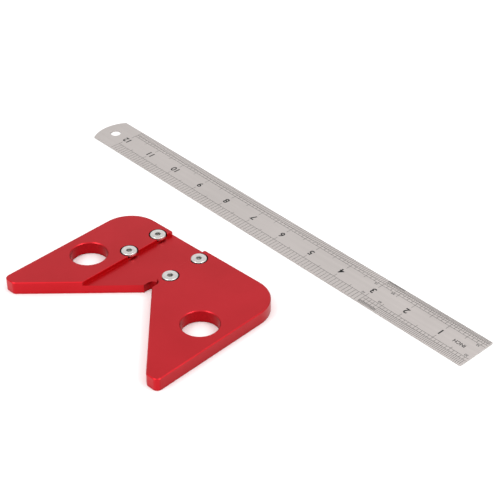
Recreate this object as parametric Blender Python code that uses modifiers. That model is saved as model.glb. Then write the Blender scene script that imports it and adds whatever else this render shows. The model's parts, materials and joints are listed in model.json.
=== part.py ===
"""Centre-finder square: a V-notched head plate, its 12 inch steel rule and four clamp screws.

Metres, +Z up. The head plate lies flat with its slot upwards and the rule lies on the same surface,
behind the plate and nearly square to the slot. The origin is on that surface, in the middle of the two.
"""
import math

import bmesh
import bpy
from mathutils import Matrix

MM = 0.001
INCH = 25.4 * MM
OVER = 2 * MM                       # how far a cutter reaches past the face it cuts

# Head plate. Its own frame has its origin under the point of the V and +Y along the V's centreline.
HEAD_AT = (-4 * MM, -30 * MM)
HEAD_WIDTH = 129.6 * MM
HEAD_LENGTH = 99 * MM
HEAD_THICK = 8.2 * MM
BACK_Y = 42.55 * MM
TIP_Y = BACK_Y - HEAD_LENGTH
BACK_RADIUS = 20 * MM
TIP_RADIUS = 3.2 * MM
HEAD_CHAMFER = 0.5 * MM             # round the top face and the finger holes
HEAD_UNDER_CHAMFER = 0.3 * MM
RELIEF_RADIUS = 3.5 * MM            # round-ended relief at the point of the V, for a square corner's burr

GRIP_RADIUS = 11.05 * MM            # two finger holes
GRIP_X = 47 * MM
GRIP_Y = -7.5 * MM

# Slot. Its right wall is the V's centreline, so the rule's edge there crosses a round bar's centre.
SLOT_WIDTH = 28.4 * MM
SLOT_DEPTH = 2.6 * MM
SLOT_FLOOR = HEAD_THICK - SLOT_DEPTH
SLOT_CHAMFER = 0.2 * MM

# Rule. Its own frame has its origin in the middle of the zero end, +X towards the 12 inch end.
RULE_AT = (163.3 * MM, 54.53 * MM)
RULE_TURN = math.radians(176.66)
RULE_WIDTH = 27.7 * MM
RULE_THICK = 1 * MM
RULE_LENGTH = 327.8 * MM            # 12 inches and the round end beyond them
RULE_END_RADIUS = 24 * MM
RULE_CORNER = 0.4 * MM
HANG_RADIUS = 3.55 * MM
HANG_X = 12 * INCH + 12.6 * MM

# Clamp screws: M5 with thin heads that reach over the rule's edges
SCREW_X = (-32.1 * MM, 3.3 * MM)
SCREW_Y = (34.1 * MM, 10.95 * MM)
HEAD_RADIUS = 4.75 * MM
HEAD_TOP = HEAD_THICK + 0.4 * MM
HEAD_UNDER = SLOT_FLOOR + RULE_THICK + 0.2 * MM
HEAD_EDGE = 0.4 * MM
SINK_RADIUS = 5.5 * MM              # counterbore round each head
SINK_FLOOR = HEAD_UNDER - 0.4 * MM
THREAD_RADIUS = 2.5 * MM
THREAD_PITCH = 0.8 * MM
THREAD_DEPTH = 0.45 * MM
THREAD_TURNS = 6
TAP_RADIUS = THREAD_RADIUS + 0.3 * MM
TAP_EDGE = 0.4 * MM
HEX_FLATS = 3 * MM
HEX_DEPTH = 1.6 * MM

ROUND_STEPS = 96                    # sides of a large round feature
SMALL_STEPS = 48
SCREW_STEPS = 32


def clear_scene():
    for obj in list(bpy.data.objects):
        bpy.data.objects.remove(obj, do_unlink=True)


def new_collection(name):
    collection = bpy.data.collections.new(name)
    bpy.context.scene.collection.children.link(collection)
    return collection


def material(name, color, metallic, roughness):
    mat = bpy.data.materials.new(name)
    mat.use_nodes = True
    shader = mat.node_tree.nodes["Principled BSDF"]
    shader.inputs["Base Color"].default_value = (*color, 1)
    shader.inputs["Metallic"].default_value = metallic
    shader.inputs["Roughness"].default_value = roughness
    return mat


def empty(name, at, turn, collection):
    obj = bpy.data.objects.new(name, None)
    obj.location = (*at, 0)
    obj.rotation_euler.z = turn
    collection.objects.link(obj)
    return obj


def add_object(name, data, collection, parent=None):
    obj = bpy.data.objects.new(name, data)
    obj.parent = parent
    collection.objects.link(obj)
    return obj


def add_cutter(name, data, parent):
    obj = add_object(name, data, CUTTERS, parent)
    obj.hide_render = True
    obj.display_type = "WIRE"
    return obj


def cut(obj, cutters):
    for cutter in cutters:
        boolean = obj.modifiers.new(cutter.name, "BOOLEAN")
        boolean.operation = "DIFFERENCE"
        boolean.solver = "EXACT"
        boolean.object = cutter


def arc(centre, radius, start, sweep, steps):
    """Points on an arc, both ends included; angles in radians, anticlockwise."""
    angles = [start + sweep * i / steps for i in range(steps + 1)]
    return [(centre[0] + radius * math.cos(a), centre[1] + radius * math.sin(a)) for a in angles]


def round_corner(before, corner, after, radius):
    """The arc that rounds the corner of an anticlockwise outline."""
    way_in = math.atan2(corner[1] - before[1], corner[0] - before[0])
    way_out = math.atan2(after[1] - corner[1], after[0] - corner[0])
    turn = (way_out - way_in + math.pi) % (2 * math.pi) - math.pi
    back = radius * math.tan(turn / 2)
    start = (corner[0] - back * math.cos(way_in), corner[1] - back * math.sin(way_in))
    centre = (start[0] - radius * math.sin(way_in), start[1] + radius * math.cos(way_in))
    steps = max(4, round(ROUND_STEPS * turn / (2 * math.pi)))
    return arc(centre, radius, way_in - math.pi / 2, turn, steps)


def rounded(corners):
    """An outline from (x, y, radius) corners, anticlockwise."""
    points = []
    for i, (x, y, radius) in enumerate(corners):
        before = corners[i - 1][:2]
        after = corners[(i + 1) % len(corners)][:2]
        points += round_corner(before, (x, y), after, radius) if radius else [(x, y)]
    return points


def flat_mesh(name, outlines, thickness):
    """A flat plate from z = 0 to its thickness; outlines after the first are holes."""
    curve = bpy.data.curves.new(name, "CURVE")
    curve.dimensions = "2D"
    curve.fill_mode = "BOTH"
    curve.extrude = thickness / 2
    for outline in outlines:
        spline = curve.splines.new("POLY")
        spline.points.add(len(outline) - 1)
        spline.use_cyclic_u = True
        for point, (x, y) in zip(spline.points, outline):
            point.co = (x, y, 0, 1)
    source = bpy.data.objects.new(name, curve)
    bpy.context.scene.collection.objects.link(source)
    bpy.context.view_layer.update()
    evaluated = source.evaluated_get(bpy.context.evaluated_depsgraph_get())
    mesh = bpy.data.meshes.new_from_object(evaluated)
    bpy.data.objects.remove(source)
    bpy.data.curves.remove(curve)
    mesh.name = name
    bm = bmesh.new()
    bm.from_mesh(mesh)
    bmesh.ops.remove_doubles(bm, verts=bm.verts, dist=0.001 * MM)
    bmesh.ops.dissolve_limit(bm, angle_limit=math.radians(0.2), verts=bm.verts, edges=bm.edges)
    bmesh.ops.translate(bm, vec=(0, 0, thickness / 2), verts=bm.verts)
    bmesh.ops.recalc_face_normals(bm, faces=bm.faces)
    bm.to_mesh(mesh)
    bm.free()
    return mesh


def chamfer_rims(mesh, widths):
    """Break the edges round a plate's level faces, with a width for each height."""
    bm = bmesh.new()
    bm.from_mesh(mesh)
    for height, width in widths:
        rim = [e for e in bm.edges if all(abs(v.co.z - height) < 0.001 * MM for v in e.verts)]
        bmesh.ops.bevel(bm, geom=rim, offset=width, offset_type="OFFSET", segments=1, profile=0.5,
                        affect="EDGES", clamp_overlap=False)
    bm.to_mesh(mesh)
    bm.free()


def turned(name, profile, steps, collection, parent):
    """A turned piece about Z, from an (r, z) profile that runs from the axis on top down to the axis."""
    mesh = bpy.data.meshes.new(name)
    edges = [(i, i + 1) for i in range(len(profile) - 1)]
    mesh.from_pydata([(r, 0, z) for r, z in profile], edges, [])
    obj = add_object(name, mesh, collection, parent)
    screw = obj.modifiers.new("turn", "SCREW")
    screw.axis = "Z"
    screw.steps = steps
    screw.render_steps = steps
    screw.use_merge_vertices = True
    screw.merge_threshold = 0.001 * MM
    screw.use_smooth_shade = False
    return obj


def turned_cutter(name, profile, steps, parent, at):
    obj = turned(name, profile, steps, CUTTERS, parent)
    obj.location = (*at, 0)
    obj.hide_render = True
    obj.display_type = "WIRE"
    return obj


def box_cutter(name, low, high, parent, turn_y=0.0, centre=(0, 0, 0)):
    """A box between two corners, turned about its own Y axis and moved to a centre."""
    bm = bmesh.new()
    bmesh.ops.create_cube(bm, size=1)
    size = [b - a for a, b in zip(low, high)]
    middle = [(a + b) / 2 for a, b in zip(low, high)]
    place = Matrix.Translation(centre) @ Matrix.Rotation(turn_y, 4, "Y") @ Matrix.Translation(middle)
    bmesh.ops.transform(bm, matrix=place @ Matrix.Diagonal((*size, 1)), verts=bm.verts)
    mesh = bpy.data.meshes.new(name)
    bm.to_mesh(mesh)
    bm.free()
    return add_cutter(name, mesh, parent)


def grip_hole(name, at, parent):
    """A cutter for a finger hole through the head plate, with a 45 degree edge on both faces."""
    wide = GRIP_RADIUS + HEAD_CHAMFER + OVER
    profile = [(0, HEAD_THICK + OVER), (wide, HEAD_THICK + OVER), (GRIP_RADIUS, HEAD_THICK - HEAD_CHAMFER),
               (GRIP_RADIUS, HEAD_CHAMFER), (wide, -OVER), (0, -OVER)]
    return turned_cutter(name, profile, ROUND_STEPS, parent, at)


def screw_hole(name, at, parent):
    """A cutter for a counterbore and the tapped hole below it, with a 45 degree edge on the underside."""
    wide = TAP_RADIUS + TAP_EDGE + OVER
    profile = [(0, HEAD_THICK + OVER), (SINK_RADIUS, HEAD_THICK + OVER), (SINK_RADIUS, SINK_FLOOR),
               (TAP_RADIUS, SINK_FLOOR), (TAP_RADIUS, TAP_EDGE), (wide, -OVER), (0, -OVER)]
    return turned_cutter(name, profile, SMALL_STEPS, parent, at)


def screw_places():
    """Name and place of each clamp screw in the head's frame."""
    rows = zip(("back", "front"), SCREW_Y)
    return [(f"{row}_{side}", (x, y)) for row, y in rows for side, x in zip(("left", "right"), SCREW_X)]


def head_outline():
    """The plate's outline: a square back with round corners, and two legs round a 90 degree V."""
    half = HEAD_WIDTH / 2
    inner = -TIP_Y                  # the V opens at 45 degrees each side, so x = -y on its right face
    relief = [(RELIEF_RADIUS, -RELIEF_RADIUS)]
    relief += arc((0, 0), RELIEF_RADIUS, 0, math.pi, SMALL_STEPS // 2)
    relief += [(-RELIEF_RADIUS, -RELIEF_RADIUS)]
    corners = [(-inner, TIP_Y, TIP_RADIUS), (-half, TIP_Y, TIP_RADIUS), (-half, BACK_Y, BACK_RADIUS),
               (half, BACK_Y, BACK_RADIUS), (half, TIP_Y, TIP_RADIUS), (inner, TIP_Y, TIP_RADIUS)]
    clockwise = corners + [(x, y, 0) for x, y in relief]
    return rounded(clockwise[::-1])


def build_head(frame):
    mesh = flat_mesh("head_plate", [head_outline()], HEAD_THICK)
    chamfer_rims(mesh, ((HEAD_THICK, HEAD_CHAMFER), (0, HEAD_UNDER_CHAMFER)))
    head = add_object("head_plate", mesh, PARTS, frame)
    reach = HEAD_LENGTH
    cutters = [box_cutter("slot", (-SLOT_WIDTH, -reach, SLOT_FLOOR), (0, reach, HEAD_THICK + OVER), frame)]
    bar = SLOT_CHAMFER / math.sqrt(2)
    for side, x in (("left", -SLOT_WIDTH), ("right", 0)):
        cutters.append(box_cutter(f"slot_edge_{side}", (-bar, -reach, -bar), (bar, reach, bar), frame,
                                  math.radians(45), (x, 0, HEAD_THICK)))
    for side, x in (("left", -GRIP_X), ("right", GRIP_X)):
        cutters.append(grip_hole(f"grip_{side}", (x, GRIP_Y), frame))
    for name, at in screw_places():
        cutters.append(screw_hole(f"screw_hole_{name}", at, frame))
    cut(head, cutters)
    head.data.materials.append(material("red_anodised", (0.52, 0.02, 0.035), 0.8, 0.38))
    return head


def screw_profile():
    """Head, neck, thread ridges and a pointed-off end, from the top down."""
    neck = HEAD_UNDER - 0.5 * MM
    root = THREAD_RADIUS - THREAD_DEPTH
    profile = [(0, HEAD_TOP), (HEAD_RADIUS - HEAD_EDGE, HEAD_TOP), (HEAD_RADIUS, HEAD_TOP - HEAD_EDGE),
               (HEAD_RADIUS, HEAD_UNDER), (root, HEAD_UNDER), (root, neck)]
    for turn in range(THREAD_TURNS):
        start = neck - turn * THREAD_PITCH
        profile += [(THREAD_RADIUS, start - THREAD_PITCH / 2), (root, start - THREAD_PITCH)]
    end = profile[-1][1] - THREAD_DEPTH
    return profile + [(root - THREAD_DEPTH, end), (0, end)]


def build_screw(name, at, frame, finish):
    """A screw with its origin on its axis, in the plane of the slot's floor."""
    profile = [(r, z - SLOT_FLOOR) for r, z in screw_profile()]
    screw = turned(f"clamp_screw_{name}", profile, SCREW_STEPS, PARTS, frame)
    screw.location = (*at, SLOT_FLOOR)
    corner = HEX_FLATS / math.sqrt(3)
    bm = bmesh.new()
    bmesh.ops.create_cone(bm, cap_ends=True, segments=6, radius1=corner, radius2=corner,
                          depth=HEX_DEPTH + OVER)
    top = HEAD_TOP - SLOT_FLOOR
    bmesh.ops.translate(bm, vec=(0, 0, top + (OVER - HEX_DEPTH) / 2), verts=bm.verts)
    mesh = bpy.data.meshes.new(f"socket_{name}")
    bm.to_mesh(mesh)
    bm.free()
    socket = add_cutter(f"socket_{name}", mesh, frame)
    socket.location = screw.location
    cut(screw, [socket])
    screw.data.materials.append(finish)
    return screw


def rule_outline():
    """A long blade, square at zero and round at the far end."""
    half = RULE_WIDTH / 2
    reach = math.asin(half / RULE_END_RADIUS)
    end = arc((RULE_LENGTH - RULE_END_RADIUS, 0), RULE_END_RADIUS, -reach, 2 * reach, SMALL_STEPS)
    return rounded([(0, -half, RULE_CORNER)] + [(x, y, 0) for x, y in end] + [(0, half, RULE_CORNER)])


def build_rule(frame):
    hole = arc((HANG_X, 0), HANG_RADIUS, 0, 2 * math.pi, SMALL_STEPS)[:-1]
    mesh = flat_mesh("steel_rule", [rule_outline(), hole], RULE_THICK)
    rule = add_object("steel_rule", mesh, PARTS, frame)
    rule.data.materials.append(material("satin_steel", (0.62, 0.6, 0.58), 1, 0.34))
    return rule


clear_scene()
PARTS = new_collection("centre_finder_square")
CUTTERS = new_collection("cutters")
head_frame = empty("head_frame", HEAD_AT, 0, PARTS)
rule_frame = empty("rule_frame", RULE_AT, RULE_TURN, PARTS)
build_head(head_frame)
build_rule(rule_frame)
screw_steel = material("screw_steel", (0.7, 0.69, 0.66), 1, 0.25)
for screw_name, screw_at in screw_places():
    build_screw(screw_name, screw_at, head_frame, screw_steel)
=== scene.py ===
"""Looks of the centre-finder square: red anodised head, satin steel rule and turned steel screws.

Everything is in metres, in the frame of the solid model. The rule's marks are laid out in the rule's
own frame: x from the zero end towards 12 inches, y towards the edge that is marked in tenths.
"""
import json
import math

import bmesh
import bpy
from mathutils import Matrix, Vector


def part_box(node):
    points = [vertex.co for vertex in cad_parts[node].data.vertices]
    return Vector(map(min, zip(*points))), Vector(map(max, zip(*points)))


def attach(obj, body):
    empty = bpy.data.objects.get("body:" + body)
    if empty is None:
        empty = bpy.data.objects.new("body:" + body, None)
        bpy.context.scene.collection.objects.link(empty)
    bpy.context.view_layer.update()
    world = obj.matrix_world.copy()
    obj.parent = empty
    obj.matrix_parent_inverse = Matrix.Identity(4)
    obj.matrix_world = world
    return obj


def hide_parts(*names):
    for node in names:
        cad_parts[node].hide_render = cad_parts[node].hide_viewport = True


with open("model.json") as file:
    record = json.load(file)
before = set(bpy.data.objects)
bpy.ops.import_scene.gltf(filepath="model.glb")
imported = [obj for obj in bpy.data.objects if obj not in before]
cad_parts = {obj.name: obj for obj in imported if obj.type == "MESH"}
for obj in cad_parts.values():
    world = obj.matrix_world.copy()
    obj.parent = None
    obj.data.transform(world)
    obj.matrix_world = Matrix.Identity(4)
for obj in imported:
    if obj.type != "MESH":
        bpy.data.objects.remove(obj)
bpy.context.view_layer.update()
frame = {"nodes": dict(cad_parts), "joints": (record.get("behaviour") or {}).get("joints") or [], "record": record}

MM = 0.001
INCH = 25.4 * MM

# View of the whole square from its front right
VIEW_AZIMUTH = math.radians(43.93)
VIEW_ELEVATION = math.radians(35.9)
VIEW_AIM = Vector((7.21 * MM, 39.19 * MM, 0))
VIEW_DISTANCE = 782.8 * MM
VIEW_LENS = 93.4
SENSOR_WIDTH = 36

# Light
ROOM_STRENGTH = 1.02
ROOM_GREYS = ((0, 0.55), (0.5, 0.88), (0.7, 1.08), (1, 1.2))    # from the horizon, 0, to overhead, 1
SEEN_WHITE = 0.95                   # how bright the room and the table look
TABLE_BOUNCE = 0.78                 # how much light the table throws back
TABLE_RADIUS = 6
TABLE_GAP = 0.02 * MM               # the table is this far under the square

# Broken edges
EDGE_ANGLE = math.radians(25)       # sharper edges than this are broken
HEAD_EDGE = 0.12 * MM
RULE_EDGE = 0.06 * MM
SCREW_EDGE = 0.04 * MM

# Places in the head plate, for the painted light on the V's faces and the painted shade in its cutouts and
# counterbores
POINT_Y = 56.45 * MM                # the V's point, from the legs' tips
GRIP_X = 47 * MM                    # middle of a finger hole, from the V's point
GRIP_Y = -7.5 * MM
GRIP_REACH = 12.5 * MM              # a finger hole and its broken edges lie inside this
RELIEF_REACH = 5.2 * MM             # and the relief inside this, from the V's point
BORE_RADIUS = 5.6 * MM              # a counterbore's wall lies inside this
BORE_LOW = 6.2 * MM                 # and its middle between these heights
BORE_TOP = 7.9 * MM

# Clamp screws
SCREW_SIDES = 96
SCREW_HEAD = 1.8 * MM               # thickness of the head
SCREW_NECK = 0.5 * MM
SCREW_ROOT = 2.05 * MM              # radius between the threads
SCREW_POINT = 0.45 * MM             # how far the shank narrows at its foot
GROOVE_RADIUS = 3.25 * MM           # shallow turned groove in the top
GROOVE_HALF = 0.15 * MM
GROOVE_DEPTH = 0.05 * MM
RIM = ((0.36, 0), (0.04, 0.26), (0, 0.4))   # broken rim: mm in from the side, mm down
RIM_UNDER = 0.15 * MM
THREAD_RADIUS = 2.5 * MM
THREAD_PITCH = 0.8 * MM
CREST_START = 0.35 * MM             # the thread's flat crest, from the top of each ridge
CREST_END = 0.45 * MM
THREAD_MARGIN = 0.3 * MM            # least plain shank under the last thread
HEX_FLATS = 3 * MM
HEX_DEPTH = 1.6 * MM
HEX_CHAMFER = 0.2 * MM
HEX_ABOVE = 0.7 * MM                # the socket's cutter starts this far above the head
SOCKET_REACH = 0.6 * HEX_FLATS      # faces this near the axis are the socket's
SOCKET_MARGIN = 0.02 * MM           # and this far inside its mouth and its floor

# Rule marks
LINE = 0.2 * MM                     # width of a graduation
MARK_TOP = 0.012 * MM               # how far the fill stands above the steel
MARK_ROOT = 0.01 * MM
RAIL_TOP = 0.8 * MARK_TOP
RAIL_START = 0.1 * MM
TICK_END = 0.08 * MM                # plain steel between a graduation and the blade's edge
INCH_REACH = 4 * MM                 # reach of a line from the rule's middle
HALF_REACH = 5.2 * MM
TENTH_REACH = 6.9 * MM
TWENTIETH_REACH = 9.25 * MM
FIFTIETH_REACH = 11.7 * MM
EIGHTH_REACH = 7.3 * MM
SIXTEENTH_REACH = 9.3 * MM
THIRTY_SECOND_REACH = 11.05 * MM
SIXTY_FOURTH_REACH = 12.3 * MM
CAP_HEIGHT = 0.73                   # a capital's height in the type's size
BOLD = 0.03                         # how far a mark's outline grows, in its own height
PLAIN = 0.02
NUMERAL_HEIGHT = 4.6 * MM
UNIT_HEIGHT = 2.5 * MM
DENOMINATOR_HEIGHT = 1.7 * MM
MARK_Y = 0.25 * MM                  # middle line of the numerals and the unit
UNIT_X = 12.1 * MM
DENOMINATORS = (("20", 3.1, 5.2), ("32", 4.1, -6), ("50", 66.4, 5.3),
                ("64", 66.7, -6), ("10", 79.3, 5.4), ("16", 79.9, -6))   # x and y in mm

# Meshes
WELD = 0.002 * MM
GLYPH_WELD = 0.0005 * MM
FLAT_ANGLE = math.radians(0.3)      # triangles nearer than this to one plane become one face

# Which way a face looks, from its normal
UPRIGHT = 0.3                       # a wall's has less z than this, up or down
LEVEL = 0.9                         # a level face's has more z than this
TO_FRONT = -0.3                     # the V's faces and the tips have less y than this


# ---------------------------------------------------------------- materials

def new_material(name):
    mat = bpy.data.materials.new(name)
    mat.use_nodes = True
    tree = mat.node_tree
    return mat, tree.nodes, tree.links, tree.nodes["Principled BSDF"]


def placed_coordinates(nodes, links, turn=0.0, stretch=(1, 1, 1)):
    """Object coordinates, turned about Z and then scaled."""
    coords = nodes.new("ShaderNodeTexCoord")
    turned = nodes.new("ShaderNodeMapping")
    turned.inputs["Rotation"].default_value = (0, 0, -turn)
    scaled = nodes.new("ShaderNodeMapping")
    scaled.inputs["Scale"].default_value = stretch
    links.new(coords.outputs["Object"], turned.inputs["Vector"])
    links.new(turned.outputs["Vector"], scaled.inputs["Vector"])
    return scaled.outputs["Vector"]


def noise(nodes, links, vector, scale, detail=2.0, roughness=0.5):
    tex = nodes.new("ShaderNodeTexNoise")
    tex.inputs["Scale"].default_value = scale
    tex.inputs["Detail"].default_value = detail
    tex.inputs["Roughness"].default_value = roughness
    links.new(vector, tex.inputs["Vector"])
    return tex.outputs["Fac"]


def grey(value):
    return value, value, value, 1


def ramp(nodes, links, factor, low, high, start=0.3, end=0.7):
    """A colour or grey that runs from low to high as the factor goes from start to end."""
    node = nodes.new("ShaderNodeValToRGB")
    node.color_ramp.elements[0].position = start
    node.color_ramp.elements[1].position = end
    for element, value in zip(node.color_ramp.elements, (low, high)):
        element.color = (*value, 1) if isinstance(value, tuple) else grey(value)
    links.new(factor, node.inputs["Fac"])
    return node.outputs["Color"]


def mix(nodes, links, factor, a, b, blend="MIX"):
    """One colour over another; each of the three is a value or another node's output."""
    node = nodes.new("ShaderNodeMix")
    node.data_type = "RGBA"
    node.blend_type = blend
    for socket, given in (("Factor", factor), ("A", a), ("B", b)):
        if isinstance(given, bpy.types.NodeSocket):
            links.new(given, node.inputs[socket])
        else:
            node.inputs[socket].default_value = given
    return node.outputs["Result"]


def camera_ray(nodes):
    """One where the camera looks straight at a surface, and zero in the light that it throws."""
    return nodes.new("ShaderNodeLightPath").outputs["Is Camera Ray"]


def bump(nodes, links, height, strength, distance):
    node = nodes.new("ShaderNodeBump")
    node.inputs["Strength"].default_value = strength
    node.inputs["Distance"].default_value = distance
    links.new(height, node.inputs["Height"])
    return node.outputs["Normal"]


def red_anodised(name, dark, light, coat=0.3):
    """Dyed anodic film over fine blasted aluminium: a red metal under a thin clear layer."""
    mat, nodes, links, shader = new_material(name)
    vector = placed_coordinates(nodes, links)
    cloud = noise(nodes, links, vector, scale=35, detail=4)
    grain = noise(nodes, links, vector, scale=2600, detail=3, roughness=0.6)
    links.new(ramp(nodes, links, cloud, dark, light), shader.inputs["Base Color"])
    links.new(ramp(nodes, links, grain, 0.32, 0.42), shader.inputs["Roughness"])
    links.new(bump(nodes, links, grain, strength=0.12, distance=0.02 * MM), shader.inputs["Normal"])
    shader.inputs["Metallic"].default_value = 1
    shader.inputs["Coat Weight"].default_value = coat
    shader.inputs["Coat Roughness"].default_value = 0.3
    shader.inputs["Coat IOR"].default_value = 1.5
    return mat


def satin_steel(turn):
    """Rolled and brushed along its length, with faint long streaks."""
    mat, nodes, links, shader = new_material("satin_steel")
    short = placed_coordinates(nodes, links, turn, stretch=(60, 4200, 1))
    long = placed_coordinates(nodes, links, turn, stretch=(9, 420, 1))
    fine = noise(nodes, links, short, scale=1, detail=3, roughness=0.6)
    streak = noise(nodes, links, long, scale=1, detail=3)
    cloud = noise(nodes, links, placed_coordinates(nodes, links), scale=22, detail=3)
    base = ramp(nodes, links, streak, (0.58, 0.537, 0.518), (0.61, 0.564, 0.544))
    shade = ramp(nodes, links, cloud, 0.94, 1.0)
    links.new(mix(nodes, links, 1, base, shade, "MULTIPLY"), shader.inputs["Base Color"])
    links.new(ramp(nodes, links, fine, 0.34, 0.46), shader.inputs["Roughness"])
    links.new(bump(nodes, links, fine, strength=0.1, distance=0.01 * MM), shader.inputs["Normal"])
    shader.inputs["Metallic"].default_value = 1
    return mat


def turned_steel(name, dark, light):
    """Lathe-turned: fine rings about the screw's axis."""
    mat, nodes, links, shader = new_material(name)
    vector = placed_coordinates(nodes, links)
    rings = nodes.new("ShaderNodeTexWave")
    rings.wave_type = "RINGS"
    rings.rings_direction = "Z"
    rings.inputs["Scale"].default_value = 900
    rings.inputs["Distortion"].default_value = 1.2
    rings.inputs["Detail"].default_value = 2
    links.new(vector, rings.inputs["Vector"])
    spots = noise(nodes, links, vector, scale=700, detail=3)
    links.new(ramp(nodes, links, spots, dark, light), shader.inputs["Base Color"])
    ring = rings.outputs["Fac"]
    links.new(ramp(nodes, links, ring, 0.26, 0.4), shader.inputs["Roughness"])
    links.new(bump(nodes, links, ring, strength=0.12, distance=0.01 * MM), shader.inputs["Normal"])
    shader.inputs["Metallic"].default_value = 1
    return mat


def mark_fill(name, dark, light):
    """Dark filled etching, a little uneven."""
    mat, nodes, links, shader = new_material(name)
    spots = noise(nodes, links, placed_coordinates(nodes, links), scale=1800, detail=3)
    links.new(ramp(nodes, links, spots, dark, light), shader.inputs["Base Color"])
    links.new(ramp(nodes, links, spots, 0.5, 0.65), shader.inputs["Roughness"])
    shader.inputs["Specular IOR Level"].default_value = 0.25
    return mat


# ---------------------------------------------------------------- pieces

def in_scene(name, data):
    obj = bpy.data.objects.new(name, data)
    bpy.context.scene.collection.objects.link(obj)
    return obj


def evaluated_mesh(obj):
    """The mesh that an object has once its modifiers or its type are applied."""
    bpy.context.view_layer.update()
    return bpy.data.meshes.new_from_object(obj.evaluated_get(bpy.context.evaluated_depsgraph_get()))


def mesh_from(name, bm):
    mesh = bpy.data.meshes.new(name)
    bm.to_mesh(mesh)
    bm.free()
    return mesh


def add_piece(name, mesh, body, material, at=(0, 0, 0)):
    obj = in_scene(name, mesh)
    obj.location = at
    mesh.materials.clear()
    mesh.materials.append(material)
    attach(obj, body)
    return obj


def soften(obj, width):
    """Round the hard edges a little and shade the piece smoothly between them."""
    bevel = obj.modifiers.new("edges", "BEVEL")
    bevel.width = width
    bevel.segments = 2
    bevel.limit_method = "ANGLE"
    bevel.angle_limit = EDGE_ANGLE
    bevel.harden_normals = True
    bevel.use_clamp_overlap = True
    for polygon in obj.data.polygons:
        polygon.use_smooth = True
    obj.data.set_sharp_from_angle(angle=EDGE_ANGLE)
    weighted = obj.modifiers.new("normals", "WEIGHTED_NORMAL")
    weighted.keep_sharp = True


def finish_faces(obj, material, chosen):
    """Give another material to the faces that pass a test of their middle and normal; here each such material is a
    lighter or darker copy that paints light or shade.
    """
    obj.data.materials.append(material)
    index = len(obj.data.materials) - 1
    for polygon in obj.data.polygons:
        if chosen(polygon.center, polygon.normal):
            polygon.material_index = index


def machined(name, node, body, material, width):
    """A solid's mesh with its triangles merged into flat faces and its edges broken."""
    bm = bmesh.new()
    bm.from_mesh(frame["nodes"][node].data)
    bmesh.ops.remove_doubles(bm, verts=bm.verts, dist=WELD)
    bmesh.ops.dissolve_limit(bm, angle_limit=FLAT_ANGLE, verts=bm.verts, edges=bm.edges)
    obj = add_piece(name, mesh_from(name, bm), body, material)
    soften(obj, width)
    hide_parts(node)
    return obj


def beside_screw(at):
    """Whether a place is within a counterbore's radius of a clamp screw's axis."""
    return any(math.hypot(at.x - x, at.y - y) < BORE_RADIUS for x, y, _ in screw_axes)


def in_bore(at, normal):
    """Whether a face is a wall of a counterbore."""
    return BORE_LOW < at.z < BORE_TOP and beside_screw(at)


def in_cutout(at):
    """Whether a place is at a finger hole or at the relief of the V."""
    x, y = at.x - v_point.x, at.y - v_point.y
    return math.hypot(abs(x) - GRIP_X, y - GRIP_Y) < GRIP_REACH or math.hypot(x, y) < RELIEF_REACH


def on_cutout_wall(at, normal):
    """Whether a face is an upright wall of a finger hole or of the relief."""
    return abs(normal.z) < UPRIGHT and in_cutout(at)


def on_ground_edge(at, normal):
    """Whether a face is one of the V's two working faces, a leg's tip or an edge of these, which get painted
    light.
    """
    looks_out = normal.y < TO_FRONT and abs(normal.z) < LEVEL
    return looks_out and not beside_screw(at) and not in_cutout(at)


def turned_mesh(name, profile, sides):
    """A closed mesh round the Z axis from an (r, z) profile, with a flat face at each end."""
    bm = bmesh.new()
    angles = [2 * math.pi * i / sides for i in range(sides)]
    rings = [[bm.verts.new((r * math.cos(a), r * math.sin(a), z)) for a in angles] for r, z in profile]
    for upper, lower in zip(rings, rings[1:]):
        for i in range(sides):
            j = (i + 1) % sides
            bm.faces.new((upper[i], lower[i], lower[j], upper[j]))
    bm.faces.new(rings[0])
    bm.faces.new(rings[-1])
    bmesh.ops.recalc_face_normals(bm, faces=bm.faces)
    return mesh_from(name, bm)


def carve(obj, tool_mesh):
    """Cut a mesh out of a piece and keep the result as the piece's own mesh."""
    tool = in_scene("tool", tool_mesh)
    tool.matrix_world = obj.matrix_world
    boolean = obj.modifiers.new("socket", "BOOLEAN")
    boolean.operation = "DIFFERENCE"
    boolean.solver = "EXACT"
    boolean.object = tool
    made = evaluated_mesh(obj)
    obj.modifiers.clear()
    obj.data = made
    bpy.data.objects.remove(tool)


def screw_profile(radius, top, foot):
    """Half outline of a screw: the grooved top, the broken rim, the neck, the threads and the foot."""
    under = top - SCREW_HEAD
    profile = [(GROOVE_RADIUS - GROOVE_HALF, top), (GROOVE_RADIUS, top - GROOVE_DEPTH),
               (GROOVE_RADIUS + GROOVE_HALF, top)]
    profile += [(radius - inward * MM, top - down * MM) for inward, down in RIM]
    profile += [(radius, under + RIM_UNDER), (radius - RIM_UNDER, under), (SCREW_ROOT, under)]
    start = under - SCREW_NECK
    profile.append((SCREW_ROOT, start))
    while start - THREAD_PITCH > foot + THREAD_MARGIN:
        profile += [(THREAD_RADIUS, start - CREST_START), (THREAD_RADIUS, start - CREST_END),
                    (SCREW_ROOT, start - THREAD_PITCH)]
        start -= THREAD_PITCH
    profile.append((SCREW_ROOT - SCREW_POINT, foot))
    return profile


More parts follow.
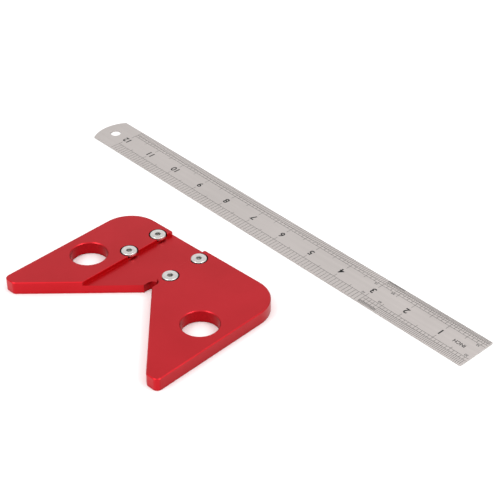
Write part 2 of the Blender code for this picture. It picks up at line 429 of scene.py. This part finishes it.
def clamp_screw(name, node, body, material, socket_shade_material):
    """Thin round head with a turned groove and a hex socket, on a ridged shank."""
    low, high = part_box(node)
    axis = (low + high) / 2
    top, foot = high.z - axis.z, low.z - axis.z
    profile = screw_profile((high.x - low.x) / 2, top, foot)
    obj = add_piece(name, turned_mesh(name, profile, SCREW_SIDES), body, material, axis)
    corner = HEX_FLATS / math.sqrt(3)
    hexagon = [(corner + HEX_ABOVE + HEX_CHAMFER, top + HEX_ABOVE), (corner, top - HEX_CHAMFER),
               (corner, top - HEX_DEPTH)]
    carve(obj, turned_mesh("socket", hexagon, sides=6))

    def in_socket(at, normal):
        deep = SOCKET_MARGIN < top - at.z < HEX_DEPTH - SOCKET_MARGIN
        return deep and math.hypot(at.x, at.y) < SOCKET_REACH

    # The socket's inner faces get the darker steel: painted shade in the recess
    finish_faces(obj, socket_shade_material, in_socket)
    soften(obj, SCREW_EDGE)
    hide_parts(node)


# ---------------------------------------------------------------- rule marks

def rule_place():
    """The rule's own frame, its turn and half its width.

    The frame's origin is in the middle of the zero end, on top of the blade.
    """
    slide = [joint for joint in frame["joints"] if joint["child"] == "rule"][0]
    along = Vector(slide["axis"]).normalized()
    across = Vector((-along.y, along.x, 0))
    corners = [vertex.co for vertex in frame["nodes"]["steel_rule"].data.vertices]
    start = min(co.dot(along) for co in corners)
    sides = [co.dot(across) for co in corners]
    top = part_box("steel_rule")[1].z
    origin = along * start + across * (min(sides) + max(sides)) / 2 + Vector((0, 0, top))
    axes = Matrix((along, across, (0, 0, 1))).transposed().to_4x4()
    turn = math.atan2(along.y, along.x)
    return Matrix.Translation(origin) @ axes, turn, (max(sides) - min(sides)) / 2


def add_bar(bm, x0, x1, y0, y1, top=MARK_TOP):
    """A flat closed bar on the blade."""
    low, high = Vector((x0, y0, -MARK_ROOT)), Vector((x1, y1, top))
    place = Matrix.Translation((low + high) / 2) @ Matrix.Diagonal((*(high - low), 1))
    bmesh.ops.create_cube(bm, size=1, matrix=place)


def graduations():
    """(position in inches, reach from the rule's middle) of every line on each edge."""
    near = [(n / 10, TENTH_REACH) for n in range(1, 121)]
    near += [(n / 20, TWENTIETH_REACH) for n in range(1, 50, 2)]
    near += [(n / 50, FIFTIETH_REACH) for n in range(126, 150) if n % 5]
    far = [(n / 8, EIGHTH_REACH) for n in range(1, 97)]
    far += [(n / 16, SIXTEENTH_REACH) for n in range(1, 192, 2)]
    far += [(n / 32, THIRTY_SECOND_REACH) for n in range(1, 96, 2)]
    far += [(n / 64, SIXTY_FOURTH_REACH) for n in range(161, 192, 2)]
    return near, far


def rails():
    """(start and end in inches, distance from the rule's middle) of the lines along the blade."""
    return ((0, 12, TENTH_REACH), (0, 3, TWENTIETH_REACH), (2.5, 3, FIFTIETH_REACH),
            (0, 12, -EIGHTH_REACH), (0, 12, -SIXTEENTH_REACH), (0, 3, -THIRTY_SECOND_REACH))


def rule_lines(place, half, material):
    near, far = graduations()
    bm = bmesh.new()
    for side, marks in ((1, near), (-1, far)):
        for inches, reach in marks:
            if inches == int(inches):
                reach = INCH_REACH
            elif inches * 2 == int(inches * 2):
                reach = HALF_REACH
            x = inches * INCH
            y0, y1 = sorted((side * reach, side * (half - TICK_END)))
            add_bar(bm, x - LINE / 2, x + LINE / 2, y0, y1)
    for start, end, y in rails():
        add_bar(bm, start * INCH + RAIL_START, end * INCH, y - LINE / 2, y + LINE / 2, RAIL_TOP)
    bm.transform(place)
    add_piece("rule_lines", mesh_from("rule_lines", bm), "rule", material)


def glyphs(words, height, weight):
    """Raised lettering, centred on the blade's surface as a flat closed mesh.

    A nine is a six turned half round, which has the cleaner outline.
    """
    is_nine = words == "9"
    curve = bpy.data.curves.new(words, "FONT")
    curve.body = "6" if is_nine else words
    curve.align_x = "CENTER"
    curve.align_y = "CENTER"
    curve.size = height / CAP_HEIGHT
    curve.offset = weight * height
    curve.extrude = (MARK_TOP + MARK_ROOT) / 2
    source = in_scene(words, curve)
    mesh = evaluated_mesh(source)
    bpy.data.objects.remove(source)
    bpy.data.curves.remove(curve)
    if is_nine:
        mesh.transform(Matrix.Rotation(math.pi, 4, "Z"))
    low = [min(v.co[i] for v in mesh.vertices) for i in (0, 1)]
    high = [max(v.co[i] for v in mesh.vertices) for i in (0, 1)]
    middle = Vector(((low[0] + high[0]) / 2, (low[1] + high[1]) / 2, 0))
    mesh.transform(Matrix.Translation(-middle))
    return mesh


def lettering(name, items, height, weight, place, material):
    """Marks on the blade from (words, x, y) items, as one closed mesh piece."""
    bm = bmesh.new()
    for words, x, y in items:
        mesh = glyphs(words, height, weight)
        mesh.transform(Matrix.Translation((x, y, (MARK_TOP - MARK_ROOT) / 2)))
        bm.from_mesh(mesh)
        bpy.data.meshes.remove(mesh)
    bmesh.ops.remove_doubles(bm, verts=bm.verts, dist=GLYPH_WELD)
    bmesh.ops.recalc_face_normals(bm, faces=bm.faces)
    bm.transform(place)
    add_piece(name, mesh_from(name, bm), "rule", material)


def rule_marks(place, half):
    fill = mark_fill("mark_fill", dark=0.008, light=0.02)
    pale_fill = mark_fill("pale_mark_fill", dark=0.03, light=0.06)
    rule_lines(place, half, fill)
    numerals = [(str(n), n * INCH, MARK_Y) for n in range(1, 13)]
    lettering("rule_numerals", numerals, NUMERAL_HEIGHT, BOLD, place, fill)
    lettering("rule_unit", [("INCH", UNIT_X, MARK_Y)], UNIT_HEIGHT, BOLD, place, fill)
    denominators = [(words, x * MM, y * MM) for words, x, y in DENOMINATORS]
    lettering("rule_denominators", denominators, DENOMINATOR_HEIGHT, PLAIN, place, pale_fill)


# ---------------------------------------------------------------- stage

def table():
    """A pale matt table that looks white and throws a softer light back up."""
    bpy.ops.mesh.primitive_circle_add(vertices=96, radius=TABLE_RADIUS, fill_type="NGON",
                                      location=(0, 0, -TABLE_GAP))
    obj = bpy.context.object
    obj.name = "floor"
    mat, nodes, links, shader = new_material("floor_white")
    white = mix(nodes, links, camera_ray(nodes), grey(TABLE_BOUNCE), grey(SEEN_WHITE))
    links.new(white, shader.inputs["Base Color"])
    shader.inputs["Roughness"].default_value = 1
    shader.inputs["Specular IOR Level"].default_value = 0
    obj.data.materials.append(mat)


def softbox(name, at, size, power):
    """A square soft light that faces the origin and isn't seen itself."""
    light = bpy.data.lights.new(name, "AREA")
    light.shape = "RECTANGLE"
    light.size = light.size_y = size
    light.energy = power
    obj = in_scene(name, light)
    obj.location = at
    obj.visible_camera = False
    obj.rotation_euler = (-Vector(at)).to_track_quat("-Z", "Y").to_euler()


def surroundings():
    """A pale room, dim near the floor and bright overhead; it looks evenly pale itself."""
    world = bpy.data.worlds.new("studio")
    bpy.context.scene.world = world
    world.use_nodes = True
    nodes, links = world.node_tree.nodes, world.node_tree.links
    coords = nodes.new("ShaderNodeTexCoord")
    split = nodes.new("ShaderNodeSeparateXYZ")
    links.new(coords.outputs["Generated"], split.inputs["Vector"])
    sky = nodes.new("ShaderNodeValToRGB")
    stops = sky.color_ramp.elements
    stops.remove(stops[1])
    stops[0].position, stops[0].color = ROOM_GREYS[0][0], grey(ROOM_GREYS[0][1])
    for position, value in ROOM_GREYS[1:]:
        stops.new(position).color = grey(value)
    links.new(split.outputs["Z"], sky.inputs["Fac"])
    seen = mix(nodes, links, camera_ray(nodes), sky.outputs["Color"], grey(SEEN_WHITE / ROOM_STRENGTH))
    links.new(seen, nodes["Background"].inputs["Color"])
    nodes["Background"].inputs["Strength"].default_value = ROOM_STRENGTH
    bpy.context.scene.view_settings.view_transform = "Standard"


def camera():
    data = bpy.data.cameras.new("camera")
    data.lens = VIEW_LENS
    data.sensor_width = SENSOR_WIDTH
    data.clip_start = 0.05
    data.clip_end = 50
    obj = in_scene("camera", data)
    level = math.cos(VIEW_ELEVATION)
    back = Vector((math.sin(VIEW_AZIMUTH) * level, -math.cos(VIEW_AZIMUTH) * level,
                   math.sin(VIEW_ELEVATION)))
    obj.location = VIEW_AIM + back * VIEW_DISTANCE
    obj.rotation_euler = back.to_track_quat("Z", "Y").to_euler()
    bpy.context.scene.camera = obj


camera()
surroundings()
table()
softbox("key_right", (0.87, 0.14, 0.95), size=0.45, power=3.5)
softbox("key_left", (-0.17, -0.86, 0.95), size=0.45, power=3.5)
softbox("back", (0.73, 0.75, 0.77), size=0.9, power=1)

head_low, head_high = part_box("head_plate")
v_point = Vector(((head_low.x + head_high.x) / 2, head_low.y + POINT_Y, 0))
screw_axes = [joint["pos_m"] for joint in frame["joints"] if joint["type"] == "hinge"]
red = red_anodised("red_anodised", dark=(0.47, 0.005, 0.011), light=(0.52, 0.008, 0.016))
# A lighter copy of the red: painted light on the V's working faces and the legs' tips
lit_front_red = red_anodised("lit_front_red", dark=(0.6, 0.006, 0.013), light=(0.65, 0.008, 0.018))
# A darker copy of the red with less coat: painted shade on the walls of the finger holes and the relief
cutout_shade_red = red_anodised("cutout_shade_red", dark=(0.43, 0.0025, 0.007), light=(0.48, 0.0045, 0.01), coat=0.1)
# A much darker copy of the red: painted shade in the counterbores round the screws
bore_shade_red = red_anodised("bore_shade_red", dark=(0.1, 0.002, 0.003), light=(0.14, 0.003, 0.005))
head = machined("head_plate_piece", "head_plate", "head", red, HEAD_EDGE)
# Painted light on the V's faces and tips, painted shade in the counterbores and on the cutout walls
finish_faces(head, lit_front_red, on_ground_edge)
finish_faces(head, bore_shade_red, in_bore)
finish_faces(head, cutout_shade_red, on_cutout_wall)

place, turn, half = rule_place()
machined("steel_rule_piece", "steel_rule", "rule", satin_steel(turn), RULE_EDGE)

screw_steel = turned_steel("screw_steel", dark=(0.6, 0.58, 0.56), light=(0.7, 0.68, 0.66))
# A darker copy of the screw steel: painted shade in the hex sockets
socket_shade_steel = turned_steel("socket_shade_steel", dark=(0.24, 0.24, 0.23), light=(0.32, 0.32, 0.3))
for body, nodes in frame["record"]["behaviour"]["bodies"].items():
    if body.startswith("screw_"):
        clamp_screw(f"{nodes[0]}_piece", nodes[0], body, screw_steel, socket_shade_steel)

rule_marks(place, half)
